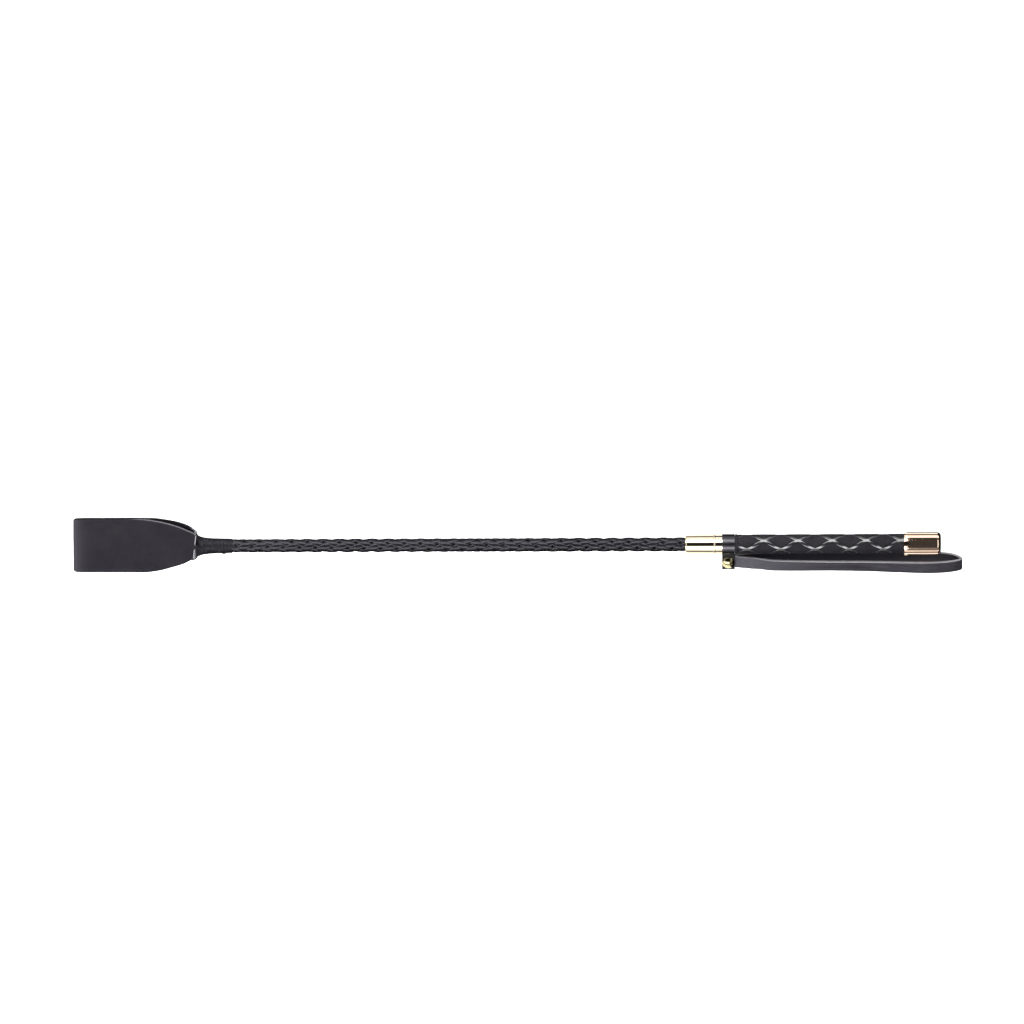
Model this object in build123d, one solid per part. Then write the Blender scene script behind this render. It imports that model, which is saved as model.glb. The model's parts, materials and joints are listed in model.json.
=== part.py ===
from build123d import *
import os

# A riding crop lying on its side, in millimetres. X runs along the shaft, from the flapper to the pommel.
# The origin is the centre of the pommel's end face, on the shaft's axis. Z is up, and the wrist strap
# lies on the -Y side. Radii are measured from the shaft's axis.

# Stations along the shaft
FLAPPER_FOLD_X = -650.0
FLAPPER_END_X = -559.5
WHIPPING_FRONT_X = -556.0
WHIPPING_FLARE_X = -547.0
WHIPPING_REAR_X = -530.6
BRAID_FRONT_X = -534.0
FERRULE_FRONT_X = -191.5
BRAID_REAR_X = -184.0
BUSHING_FRONT_X = -189.0
BEAD_FRONT_X = -170.3
BEAD_REAR_X = -168.9
COLLAR_FRONT_X = -163.9
COLLAR_REAR_X = -154.5
GRIP_RING_FRONT_X = -154.2
GRIP_FRONT_X = -152.2
ROD_REAR_X = -40.0
CAP_FRONT_X = -27.4
CORE_REAR_X = -12.0
POMMEL_X = 0.0

# Shaft
ROD_TIP_R = 2.0
ROD_BUTT_R = 3.0
SHEATH_FRONT_R = 3.2
SHEATH_REAR_R = 3.45
BRAID_FRONT_R = 4.7
BRAID_REAR_R = 4.95

# Whipping and tongues at the tip
WHIPPING_FLARE_R = 7.4
WHIPPING_WAIST_R = 5.7
WHIPPING_REAR_R = 5.4
WHIPPING_BORE_R = 4.4
TONGUE_WIDTH = 5.0
TONGUE_GAP = 0.05

# Flapper, one folded strip of leather
LEATHER = 1.5
FLAPPER_WIDTH = 45.2
FLAPPER_CORNER_R = 1.2
TAPER_CENTRE_X = -600.0
TAPER_LENGTH = 44.0
FOLD_CENTRE_X = -645.0
BELLY_X = -594.0
FOLD_Z = -3.0
UPPER_ROOT_Z = 1.3
UPPER_BELLY_Z = -1.6
LOWER_ROOT_Z = -3.3
LOWER_BELLY_Z = -4.5
FOLD_SLIT = 0.1

# Handle
FERRULE_FRONT_R = 7.0
FERRULE_REAR_R = 7.15
FERRULE_WALL = 0.8
FERRULE_LIP_R = 1.0
BEAD_R = 7.5
COLLAR_SEAT_R = 6.0
CORE_R = 5.8
GRIP_FRONT_R = 7.3
GRIP_REAR_R = 7.5
GRIP_RING_R = 7.6
CAP_R = 8.65
CAP_WALL = 0.9
CAP_END_WALL = 1.2
CAP_EDGE_R = 2.8

# Wrist strap's collar, a leather band whose two ends are riveted together as a tab
RUNNING = 0.05
COLLAR_LEATHER = 1.6
COLLAR_R = COLLAR_SEAT_R + RUNNING + COLLAR_LEATHER
TAB_END_Y = -21.5
RIVET_X = (COLLAR_FRONT_X + COLLAR_REAR_X) / 2
RIVET_Y = -15.8
RIVET_POST_R = 1.6
RIVET_HEAD_R = 4.65
RIVET_CAP_HEIGHT = 2.3
RIVET_CAP_SKIRT = 0.35

# Wrist strap, one loop of flat strap whose ends lie one on the other in the tab
STRAP_THICK = 2.0
STRAP_WIDTH = 9.6
STRAP_REACH = 175.4
STRAP_NOSE_LENGTH = 28.0
STRAP_NOSE_TOP = 15.5
STRAP_SPLIT = 8.0
STRAP_LANDING = 36.0
STRAP_KNEE = 54.0
STRAP_KNEE_TOP = 12.5

FLOOR_Z = -CAP_R
TAB_LOWER_TOP = -COLLAR_R + COLLAR_LEATHER
STACK_BOTTOM = TAB_LOWER_TOP + RUNNING
STACK_TOP = STACK_BOTTOM + 2 * STRAP_THICK
TAB_UPPER_BOTTOM = STACK_TOP + RUNNING
TAB_UPPER_TOP = TAB_UPPER_BOTTOM + COLLAR_LEATHER


def turned(corners):
    """A solid turned about the shaft's axis, from corners given as (x, radius)."""
    outline = Plane.XZ * Polyline(*corners, close=True)
    return revolve(make_face(outline), Axis.X)


def across_shaft(x):
    """The plane across the shaft at x, with its own axes along Y and Z."""
    return Plane(origin=(x, 0, 0), x_dir=(0, 1, 0), z_dir=(1, 0, 0))


def tube(start_x, end_x, outer_r, inner_r):
    """A straight round tube about the shaft's axis."""
    section = Circle(outer_r) - Circle(inner_r)
    return extrude(across_shaft(start_x) * section, end_x - start_x)


def upright(radius, bottom_z, top_z):
    """A round bar along Z through the rivet's place."""
    plane = Plane(origin=(RIVET_X, RIVET_Y, bottom_z))
    return extrude(plane * Circle(radius), top_z - bottom_z)


def shaft_core():
    """The glass-fibre rod, tapered to the tip and straight inside the handle."""
    return turned([
        (WHIPPING_FRONT_X, 0),
        (WHIPPING_FRONT_X, ROD_TIP_R),
        (FERRULE_FRONT_X, ROD_BUTT_R),
        (ROD_REAR_X, ROD_BUTT_R),
        (ROD_REAR_X, 0),
    ])


def rod_radius(x):
    """The rod's radius at x, ahead of the ferrule."""
    share = (x - WHIPPING_FRONT_X) / (FERRULE_FRONT_X - WHIPPING_FRONT_X)
    return ROD_TIP_R + share * (ROD_BUTT_R - ROD_TIP_R)


def shaft_sheath():
    """The thread underlay that rounds the rod up to the braid's bore."""
    return turned([
        (BRAID_FRONT_X, rod_radius(BRAID_FRONT_X)),
        (BRAID_FRONT_X, SHEATH_FRONT_R),
        (BRAID_REAR_X, SHEATH_REAR_R),
        (BRAID_REAR_X, ROD_BUTT_R),
        (FERRULE_FRONT_X, ROD_BUTT_R),
    ])


def braided_cover():
    """The braided sleeve, as a plain tapered tube of the laces' outer size."""
    return turned([
        (BRAID_FRONT_X, SHEATH_FRONT_R),
        (BRAID_FRONT_X, BRAID_FRONT_R),
        (BRAID_REAR_X, BRAID_REAR_R),
        (BRAID_REAR_X, SHEATH_REAR_R),
    ])


def flapper_tongues():
    """The flapper strip's two narrow ends, laid along the rod under the whipping."""
    middle_x = (WHIPPING_FRONT_X + BRAID_FRONT_X) / 2
    length = BRAID_FRONT_X - WHIPPING_FRONT_X
    height = rod_radius(BRAID_FRONT_X) + TONGUE_GAP + LEATHER / 2
    tongue = Box(length, TONGUE_WIDTH, LEATHER)
    return Compound([Pos(middle_x, 0, side * height) * tongue for side in (1, -1)])


def tip_whipping():
    """The waxed thread wound over the tongues and the braid's end, flared at the front."""
    return turned([
        (WHIPPING_FRONT_X, WHIPPING_BORE_R),
        (WHIPPING_FRONT_X, WHIPPING_FLARE_R),
        (WHIPPING_FLARE_X, WHIPPING_WAIST_R),
        (WHIPPING_REAR_X, WHIPPING_REAR_R),
        (WHIPPING_REAR_X, BRAID_REAR_R),
        (BRAID_FRONT_X, BRAID_REAR_R),
        (BRAID_FRONT_X, WHIPPING_BORE_R),
    ])


def leaf_arc(root_z, belly_z, fold_z):
    """One face of a leaf in the XZ plane, from its root to the fold."""
    return ThreePointArc((FLAPPER_END_X, root_z), (BELLY_X, belly_z), (FOLD_CENTRE_X, fold_z))


def flapper():
    """The folded leaf: two layers meeting in a fold, a little apart at their roots."""
    half = LEATHER / 2
    slit = FOLD_SLIT / 2
    upper_outer = leaf_arc(UPPER_ROOT_Z + half, UPPER_BELLY_Z + half, FOLD_Z + LEATHER)
    upper_inner = leaf_arc(UPPER_ROOT_Z - half, UPPER_BELLY_Z - half, FOLD_Z + slit)
    lower_inner = leaf_arc(LOWER_ROOT_Z + half, LOWER_BELLY_Z + half, FOLD_Z - slit)
    lower_outer = leaf_arc(LOWER_ROOT_Z - half, LOWER_BELLY_Z - half, FOLD_Z - LEATHER)
    fold_length = FOLD_CENTRE_X - FLAPPER_FOLD_X
    fold = EllipticalCenterArc((FOLD_CENTRE_X, FOLD_Z), fold_length, LEATHER, 90, arc_size=180)
    outline = [
        upper_outer,
        fold,
        lower_outer,
        Line(lower_outer @ 0, lower_inner @ 0),
        lower_inner,
        Line(lower_inner @ 1, upper_inner @ 1),
        upper_inner,
        Line(upper_inner @ 0, upper_outer @ 0),
    ]
    profile = make_face(Plane.XZ * Curve(outline))
    strip = extrude(profile, FLAPPER_WIDTH, both=True)
    return strip & extrude(flapper_plan(), CAP_R, both=True)


def flapper_plan():
    """The leaf's outline from above: square at the fold and elliptical towards its root."""
    straight = TAPER_CENTRE_X - FLAPPER_FOLD_X
    block = Pos(TAPER_CENTRE_X - straight / 2, 0) * Rectangle(straight, FLAPPER_WIDTH)
    corners = block.vertices().sort_by(Axis.X)[:2]
    block = fillet(corners, FLAPPER_CORNER_R)
    taper = Pos(TAPER_CENTRE_X, 0) * Ellipse(TAPER_LENGTH, FLAPPER_WIDTH / 2)
    return block + taper


def ferrule():
    """The long metal sleeve at the handle's front, with a lip turned in on the braid."""
    inner_r = FERRULE_FRONT_R - FERRULE_WALL
    sleeve = turned([
        (FERRULE_FRONT_X, BRAID_REAR_R + RUNNING),
        (FERRULE_FRONT_X, FERRULE_FRONT_R),
        (BEAD_FRONT_X, FERRULE_REAR_R),
        (BEAD_FRONT_X, inner_r),
        (BUSHING_FRONT_X, inner_r),
        (BUSHING_FRONT_X, BRAID_REAR_R + RUNNING),
    ])
    lip = sleeve.edges().filter_by(GeomType.CIRCLE).group_by(Axis.X)[0].sort_by(SortBy.RADIUS)[-1]
    return fillet(lip, FERRULE_LIP_R)


def ferrule_bushing():
    """The plastic bush that centres the braided shaft in the ferrule."""
    return tube(BUSHING_FRONT_X, BRAID_REAR_X, FERRULE_FRONT_R - FERRULE_WALL, BRAID_REAR_R)


def ferrule_bead():
    """The half-round ring between the ferrule and its rear sleeve."""
    bead = tube(BEAD_FRONT_X, BEAD_REAR_X, BEAD_R, COLLAR_SEAT_R)
    rims = bead.edges().filter_by(GeomType.CIRCLE).sort_by(SortBy.RADIUS)[-2:]
    return fillet(rims, (BEAD_REAR_X - BEAD_FRONT_X) * 0.4)


def ferrule_sleeve():
    """The short metal sleeve between the bead and the strap's collar."""
    return tube(BEAD_REAR_X, COLLAR_FRONT_X - RUNNING, FERRULE_REAR_R, COLLAR_SEAT_R)


def handle_core():
    """The plastic handle tube, bonded to the rod, with a seat for the strap's collar."""
    return turned([
        (BRAID_REAR_X, ROD_BUTT_R),
        (BRAID_REAR_X, COLLAR_SEAT_R),
        (GRIP_RING_FRONT_X, COLLAR_SEAT_R),
        (GRIP_RING_FRONT_X, CORE_R),
        (CORE_REAR_X, CORE_R),
        (CORE_REAR_X, 0),
        (ROD_REAR_X, 0),
        (ROD_REAR_X, ROD_BUTT_R),
    ])


def grip_front_ring():
    """The rolled edge that finishes the grip beside the collar."""
    ring = tube(GRIP_RING_FRONT_X, GRIP_FRONT_X, GRIP_RING_R, CORE_R)
    rims = ring.edges().filter_by(GeomType.CIRCLE).sort_by(SortBy.RADIUS)[-2:]
    return fillet(rims, (GRIP_FRONT_X - GRIP_RING_FRONT_X) * 0.4)


def grip_cover():
    """The hand grip's sleeve, at its outer size."""
    return turned([
        (GRIP_FRONT_X, CORE_R),
        (GRIP_FRONT_X, GRIP_FRONT_R),
        (CAP_FRONT_X, GRIP_REAR_R),
        (CAP_FRONT_X, CORE_R),
    ])


def pommel_plug():
    """The plug that the pommel cap is pressed on, fitted over the handle tube's end."""
    inner_r = CAP_R - CAP_WALL
    return turned([
        (CAP_FRONT_X, CORE_R),
        (CAP_FRONT_X, inner_r),
        (-CAP_EDGE_R, inner_r),
        (-CAP_END_WALL, inner_r + CAP_END_WALL - CAP_EDGE_R),
        (-CAP_END_WALL, 0),
        (CORE_REAR_X, 0),
        (CORE_REAR_X, CORE_R),
    ])


def pommel_cap():
    """The drawn metal cap over the handle's end."""
    inner_r = CAP_R - CAP_WALL
    cup = turned([
        (CAP_FRONT_X, inner_r),
        (CAP_FRONT_X, CAP_R),
        (POMMEL_X, CAP_R),
        (POMMEL_X, 0),
        (-CAP_END_WALL, 0),
        (-CAP_END_WALL, inner_r + CAP_END_WALL - CAP_EDGE_R),
        (-CAP_EDGE_R, inner_r),
    ])
    edge = cup.edges().filter_by(GeomType.CIRCLE).group_by(Axis.X)[-1].sort_by(SortBy.RADIUS)[-1]
    return fillet(edge, CAP_EDGE_R)


def collar_band():
    """The leather band round its seat, with both ends led out to -Y as the tab."""
    inner = Circle(COLLAR_SEAT_R + RUNNING)
    throat_height = TAB_UPPER_BOTTOM - TAB_LOWER_TOP
    throat = Pos(-COLLAR_R, TAB_LOWER_TOP + throat_height / 2) * Rectangle(COLLAR_R, throat_height)
    tab_length = -TAB_END_Y
    upper = Pos(TAB_END_Y / 2, TAB_UPPER_TOP - COLLAR_LEATHER / 2) * Rectangle(tab_length, COLLAR_LEATHER)
    lower = Pos(TAB_END_Y / 2, TAB_LOWER_TOP - COLLAR_LEATHER / 2) * Rectangle(tab_length, COLLAR_LEATHER)
    section = Circle(COLLAR_R) - throat + upper + lower - inner
    width = COLLAR_REAR_X - COLLAR_FRONT_X
    band = extrude(across_shaft(COLLAR_FRONT_X) * section, width)
    return band - upright(RIVET_POST_R, FLOOR_Z, TAB_UPPER_TOP)


def rivet_post():
    """The rivet's lower half: a flat head under the tab and the post through it."""
    head = upright(RIVET_HEAD_R, FLOOR_Z, -COLLAR_R)
    return head + upright(RIVET_POST_R, -COLLAR_R, TAB_UPPER_TOP)


def rivet_cap():
    """The rivet's domed cap on top of the tab."""
    dome_height = RIVET_CAP_HEIGHT - RIVET_CAP_SKIRT
    dome_r = (RIVET_HEAD_R ** 2 + dome_height ** 2) / (2 * dome_height)
    ball = Pos(RIVET_X, RIVET_Y, TAB_UPPER_TOP + RIVET_CAP_HEIGHT - dome_r) * Sphere(dome_r)
    return upright(RIVET_HEAD_R, TAB_UPPER_TOP, TAB_UPPER_TOP + RIVET_CAP_HEIGHT) & ball


def strap_side(corners, nose_length):
    """A closed side view: straight runs through (x, z) corners, and a half-ellipse from last to first."""
    bottom = corners[0][1]
    top = corners[-1][1]
    nose_centre = (corners[0][0], (top + bottom) / 2)
    nose = EllipticalCenterArc(nose_centre, nose_length, (top - bottom) / 2, -90, arc_size=180)
    return make_face(Curve([Polyline(*corners), nose]))


def wrist_strap():
    """The loop of strap, standing on its lower run, with a round end about the rivet."""
    half = STRAP_WIDTH / 2
    nose_x = STRAP_REACH - STRAP_NOSE_LENGTH
    stack_bottom = STACK_BOTTOM - FLOOR_Z
    stack_top = STACK_TOP - FLOOR_Z
    outside = [
        (nose_x, 0),
        (STRAP_LANDING, 0),
        (STRAP_SPLIT, stack_bottom),
        (-half, stack_bottom),
        (-half, stack_top),
        (STRAP_SPLIT, stack_top),
        (STRAP_KNEE, STRAP_KNEE_TOP),
        (nose_x, STRAP_NOSE_TOP),
    ]
    inside = [
        (nose_x, STRAP_THICK),
        (STRAP_LANDING, STRAP_THICK),
        (STRAP_SPLIT, stack_bottom + STRAP_THICK),
        (STRAP_KNEE, STRAP_KNEE_TOP - STRAP_THICK),
        (nose_x, STRAP_NOSE_TOP - STRAP_THICK),
    ]
    hollow = strap_side(inside, STRAP_NOSE_LENGTH - STRAP_THICK)
    side = strap_side(outside, STRAP_NOSE_LENGTH) - hollow
    band = extrude(Plane.XZ * side, half, both=True)
    plan = Pos(STRAP_REACH / 2, 0) * Rectangle(STRAP_REACH, STRAP_WIDTH) + Circle(half)
    band = band & extrude(plan, 2 * STRAP_NOSE_TOP, both=True)
    band -= Cylinder(RIVET_POST_R + RUNNING, 4 * STRAP_NOSE_TOP)
    return Pos(RIVET_X, RIVET_Y, FLOOR_Z) * band


PIECES = (
    shaft_core,
    shaft_sheath,
    braided_cover,
    flapper_tongues,
    tip_whipping,
    flapper,
    ferrule,
    ferrule_bushing,
    ferrule_bead,
    ferrule_sleeve,
    handle_core,
    grip_front_ring,
    grip_cover,
    pommel_plug,
    pommel_cap,
    collar_band,
    rivet_post,
    rivet_cap,
    wrist_strap,
)

os.makedirs("parts", exist_ok=True)
for piece in PIECES:
    export_step(piece(), f"parts/{piece.__name__}.step")
print(f"{len(PIECES)} pieces, floor at z {FLOOR_Z}, rivet at {RIVET_X:.2f}, {RIVET_Y}")
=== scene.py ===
"""The looks of a riding crop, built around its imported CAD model. Lengths are in metres."""

import json
import math

import bpy
import numpy as np
from mathutils import Matrix, Vector


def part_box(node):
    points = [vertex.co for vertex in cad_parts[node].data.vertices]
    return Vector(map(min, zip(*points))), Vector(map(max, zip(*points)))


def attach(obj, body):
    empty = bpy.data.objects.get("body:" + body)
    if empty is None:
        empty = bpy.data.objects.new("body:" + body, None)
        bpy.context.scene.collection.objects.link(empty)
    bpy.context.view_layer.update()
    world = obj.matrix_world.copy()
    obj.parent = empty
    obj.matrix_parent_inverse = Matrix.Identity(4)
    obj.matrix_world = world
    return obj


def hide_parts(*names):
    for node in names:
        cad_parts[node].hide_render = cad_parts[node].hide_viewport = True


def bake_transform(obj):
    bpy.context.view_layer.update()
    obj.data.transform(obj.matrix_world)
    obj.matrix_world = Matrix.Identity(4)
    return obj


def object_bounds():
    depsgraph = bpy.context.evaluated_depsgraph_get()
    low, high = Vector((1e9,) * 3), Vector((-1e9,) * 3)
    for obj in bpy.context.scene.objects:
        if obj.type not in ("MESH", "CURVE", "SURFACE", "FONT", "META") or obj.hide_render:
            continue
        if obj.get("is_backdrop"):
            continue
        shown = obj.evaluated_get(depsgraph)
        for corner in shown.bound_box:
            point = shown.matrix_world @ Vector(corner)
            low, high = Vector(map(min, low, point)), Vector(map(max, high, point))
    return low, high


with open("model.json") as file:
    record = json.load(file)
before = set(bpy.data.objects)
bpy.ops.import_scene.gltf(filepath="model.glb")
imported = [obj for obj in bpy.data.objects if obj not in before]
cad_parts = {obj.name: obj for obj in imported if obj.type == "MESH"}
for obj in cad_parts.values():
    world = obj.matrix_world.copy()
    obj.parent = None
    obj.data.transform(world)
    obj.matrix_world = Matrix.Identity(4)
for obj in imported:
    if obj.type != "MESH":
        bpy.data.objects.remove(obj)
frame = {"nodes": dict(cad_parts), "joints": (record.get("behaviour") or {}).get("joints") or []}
CAD_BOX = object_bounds()
MM = 0.001
NODES = frame["nodes"]


# ---- Places read from the frame

def x_range(name):
    """A node's first and last place along the shaft."""
    low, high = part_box(name)
    return low.x, high.x


def radius(name):
    """Half a round node's height."""
    low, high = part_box(name)
    return (high.z - low.z) / 2


STRAP_JOINT = next(joint for joint in frame["joints"] if joint["name"] == "strap_swing")
RIVET = Vector(STRAP_JOINT["pos_m"])
FLOOR_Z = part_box("pommel_cap")[0].z
WHIP_FRONT, WHIP_REAR = x_range("tip_whipping")
BRAID_FRONT, BRAID_REAR = x_range("braided_cover")
COLLAR_FRONT, COLLAR_REAR = x_range("collar_band")
GRIP_FRONT, GRIP_REAR = x_range("grip_cover")


# ---- Mesh helpers

def add_mesh(name, verts, faces, materials, face_slots=None, smooth=True):
    """A mesh object from plain lists, with its materials."""
    mesh = bpy.data.meshes.new(name)
    mesh.from_pydata([tuple(v) for v in verts], [], faces)
    for material in materials:
        mesh.materials.append(material)
    if face_slots is not None:
        mesh.polygons.foreach_set("material_index", np.asarray(face_slots, dtype=np.int32))
    mesh.polygons.foreach_set("use_smooth", np.full(len(mesh.polygons), smooth))
    mesh.update()
    piece = bpy.data.objects.new(name, mesh)
    bpy.context.scene.collection.objects.link(piece)
    return piece


def point_attribute(piece, name, values):
    """A number at each point, which a material reads by name."""
    layer = piece.data.attributes.new(name, "FLOAT", "POINT")
    layer.data.foreach_set("value", np.asarray(values, dtype=np.float32))


def tube_faces(rings, around, closed_ends=True):
    """Quads over rings of points, and a cap on each end."""
    faces = []
    for i in range(rings - 1):
        a, b = i * around, (i + 1) * around
        for j in range(around):
            k = (j + 1) % around
            faces.append((a + j, a + k, b + k, b + j))
    if closed_ends:
        faces.append(tuple(reversed(range(around))))
        faces.append(tuple(range((rings - 1) * around, rings * around)))
    return faces


def lathe_grid(stations, around, radius_at):
    """Rings of points about the shaft's axis: radius_at(x, angle) gives each point's radius."""
    angles = np.linspace(0, 2 * math.pi, around, endpoint=False)
    x = np.repeat(stations, around)
    angle = np.tile(angles, len(stations))
    r = radius_at(x, angle)
    return np.column_stack([x, r * np.sin(angle), r * np.cos(angle)]), x, angle


def smoothstep(value, low, high):
    """0 below low and 1 above high, with a soft step between."""
    t = np.clip((value - low) / (high - low), 0, 1)
    return t * t * (3 - 2 * t)


def smooth_line(points, steps):
    """A Catmull-Rom line through points, with steps parts between each two."""
    p = np.asarray(points, float)
    ends = np.vstack([2 * p[0] - p[1], p, 2 * p[-1] - p[-2]])
    line = []
    for i in range(1, len(ends) - 2):
        m1 = (ends[i + 1] - ends[i - 1]) / 2
        m2 = (ends[i + 2] - ends[i]) / 2
        for t in np.linspace(0, 1, steps, endpoint=False):
            h = np.array([2 * t**3 - 3 * t**2 + 1, t**3 - 2 * t**2 + t, 3 * t**2 - 2 * t**3, t**3 - t**2])
            line.append(h[0] * ends[i] + h[1] * m1 + h[2] * ends[i + 1] + h[3] * m2)
    line.append(ends[-2])
    return np.array(line)


def resample(line, spacing):
    """The same line with even spacing along it."""
    lengths = np.concatenate([[0], np.cumsum(np.linalg.norm(np.diff(line, axis=0), axis=1))])
    count = max(2, int(round(lengths[-1] / spacing)) + 1)
    places = np.linspace(0, lengths[-1], count)
    return np.column_stack([np.interp(places, lengths, line[:, i]) for i in range(line.shape[1])])


def line_normals(line):
    """Unit normals in the plane of a flat line, to the left of its direction."""
    along = np.gradient(line, axis=0)
    along /= np.linalg.norm(along, axis=1)[:, None]
    return np.column_stack([-along[:, 1], along[:, 0]])


# A strip's flat part ends this many roundings in from its edge
FLAT_INSET = 1.6


def strip_section(thickness, round_over, across):
    """A leather strip's cross-section, with rounded cut edges: each point is a share of the half
    width, a distance in from the edge, a height, and whether it lies on the cut edge."""
    half = thickness / 2
    corner = [
        (round_over * (1 - math.cos(a)), half - round_over * (1 - math.sin(a)), True)
        for a in np.radians((75, 50, 25, 0))
    ]
    edge = [(round_over * FLAT_INSET, half, False), (round_over, half, False)] + corner
    edge += [(inset, -height, cut) for inset, height, cut in reversed(edge)]
    flat = list(np.linspace(-1, 1, across)[1:-1])
    section = [(share, 0, half, False) for share in flat]
    section += [(1, inset, height, cut) for inset, height, cut in edge]
    section += [(share, 0, -half, False) for share in reversed(flat)]
    section += [(-1, inset, height, cut) for inset, height, cut in reversed(edge)]
    return section


def strip(name, line, half_widths, thickness, place, materials, round_over=0.45 * MM, across=13):
    """A flat strip that follows a line in its side view. place(u, v, w, du, dv) puts a point that is
    (du, dv) off the line's point (u, v) and w across the strip. Its cut edges take the second material."""
    normals = line_normals(line)
    section = strip_section(thickness, round_over, across)
    verts = []
    for (u, v), (nu, nv), half_width in zip(line, normals, half_widths):
        for share, inset, height, _ in section:
            if abs(share) < 1:
                w = share * (half_width - round_over * FLAT_INSET)
            else:
                w = share * half_width - math.copysign(inset, share)
            verts.append(place(u, v, w, nu * height, nv * height))
    around = len(section)
    faces = tube_faces(len(line), around)
    cut = [section[j][3] or section[(j + 1) % around][3] for j in range(around)]
    slots = [int(cut[i % around]) for i in range((len(line) - 1) * around)] + [1, 1]
    return add_mesh(name, verts, faces, materials, slots)


# ---- Materials

def new_material(name):
    """A material, its node tree and its shader."""
    material = bpy.data.materials.new(name)
    material.use_nodes = True
    tree = material.node_tree
    shader = tree.nodes["Principled BSDF"]
    return material, tree, shader


def node(tree, kind, **values):
    """A node, with each value set on the input or the setting of that name."""
    made = tree.nodes.new(kind)
    for key, value in values.items():
        if key in made.inputs:
            made.inputs[key].default_value = value
        else:
            setattr(made, key, value)
    return made


def noise(tree, coordinates, scale, detail, roughness=0.55):
    """Cloudy noise, mostly between 0.3 and 0.7."""
    made = node(tree, "ShaderNodeTexNoise", Scale=scale, Detail=detail, Roughness=roughness)
    tree.links.new(coordinates, made.inputs["Vector"])
    return made.outputs["Fac"]


def ramp(tree, value, low, high, start, end):
    """value between low and high, mapped to start and end."""
    made = node(tree, "ShaderNodeMapRange")
    made.inputs["From Min"].default_value = low
    made.inputs["From Max"].default_value = high
    made.inputs["To Min"].default_value = start
    made.inputs["To Max"].default_value = end
    tree.links.new(value, made.inputs["Value"])
    return made.outputs["Result"]


def mix_colour(tree, share, first, second):
    """The first colour where share is 0, and the second where it is 1."""
    made = tree.nodes.new("ShaderNodeMix")
    made.data_type = "RGBA"
    tree.links.new(share, made.inputs["Factor"])
    for socket, colour in ((made.inputs[6], first), (made.inputs[7], second)):
        if isinstance(colour, tuple):
            socket.default_value = (*colour, 1)
        else:
            tree.links.new(colour, socket)
    return made.outputs[2]


def two_shades(tree, value, low, high, first, second):
    """The first colour where value is under low, and the second where it is over high."""
    return mix_colour(tree, ramp(tree, value, low, high, 0, 1), first, second)


def maths(tree, operation, first, second):
    """Two values, each a number or a socket, put together."""
    made = node(tree, "ShaderNodeMath", operation=operation)
    for socket, value in zip(made.inputs, (first, second)):
        if isinstance(value, float):
            socket.default_value = value
        else:
            tree.links.new(value, socket)
    return made.outputs[0]


def bump(tree, height, distance, strength, under=None):
    """Small relief from a height, on top of the relief under it."""
    made = node(tree, "ShaderNodeBump", Distance=distance, Strength=strength)
    tree.links.new(height, made.inputs["Height"])
    if under is not None:
        tree.links.new(under, made.inputs["Normal"])
    return made.outputs["Normal"]


def attribute(tree, name):
    """The number that the mesh holds at each point, or 0 where it has none."""
    return node(tree, "ShaderNodeAttribute", attribute_name=name).outputs["Fac"]


def object_coordinates(tree):
    """Coordinates that stay with the piece."""
    return tree.nodes.new("ShaderNodeTexCoord").outputs["Object"]


def stretched(tree, coordinates, scale):
    """The coordinates scaled by a different amount each way."""
    made = tree.nodes.new("ShaderNodeMapping")
    made.inputs["Scale"].default_value = scale
    tree.links.new(coordinates, made.inputs["Vector"])
    return made.outputs["Vector"]


# Black leather and thread reflect a little violet
TINT = (0.93, 0.91, 1.0, 1.0)


def leather(name, dark, light, rough, specular, streaks=None, layers=()):
    """Finished leather: fine pebble grain, pores, and slow changes of shade and polish. streaks is the
    colour of marks along the piece, and layers lists what the mesh's attributes turn it to."""
    material, tree, shader = new_material(name)
    at = object_coordinates(tree)
    cells = node(tree, "ShaderNodeTexVoronoi", Scale=2600, feature="F1")
    tree.links.new(at, cells.inputs["Vector"])
    colour = two_shades(tree, noise(tree, at, 45, 5), 0.35, 0.65, dark, light)
    if streaks:
        marks = noise(tree, stretched(tree, at, (18, 700, 700)), 1.0, 3, 0.6)
        colour = two_shades(tree, marks, 0.45, 0.72, colour, streaks)
    for layer, turned_to in layers:
        colour = mix_colour(tree, attribute(tree, layer), colour, turned_to)
    tree.links.new(colour, shader.inputs["Base Color"])
    polish = noise(tree, at, 240, 6, 0.65)
    tree.links.new(ramp(tree, polish, 0.3, 0.7, *rough), shader.inputs["Roughness"])
    soft = bump(tree, noise(tree, at, 420, 5), 0.12 * MM, 0.5)
    pebbles = bump(tree, cells.outputs["Distance"], 0.05 * MM, 0.6, soft)
    tree.links.new(pebbles, shader.inputs["Normal"])
    shader.inputs["Specular IOR Level"].default_value = specular
    shader.inputs["Specular Tint"].default_value = TINT
    return material


def cut_edge(name, colour, rough=(0.25, 0.45), specular=0.6, wear_and_highlight=None):
    """A cut and burnished leather edge, finely mottled. wear_and_highlight is its colour where the mesh's
    edge_highlight is 1, a painted highlight.
    """
    material, tree, shader = new_material(name)
    at = object_coordinates(tree)
    fibres = noise(tree, at, 900, 6, 0.7)
    darker = tuple(c * 0.6 for c in colour)
    shade = two_shades(tree, fibres, 0.3, 0.7, darker, colour)
    if wear_and_highlight:
        shade = mix_colour(tree, attribute(tree, "edge_highlight"), shade, wear_and_highlight)
    tree.links.new(shade, shader.inputs["Base Color"])
    tree.links.new(ramp(tree, fibres, 0.3, 0.7, *rough), shader.inputs["Roughness"])
    tree.links.new(bump(tree, fibres, 0.06 * MM, 0.5), shader.inputs["Normal"])
    shader.inputs["Specular IOR Level"].default_value = specular
    return material


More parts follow.
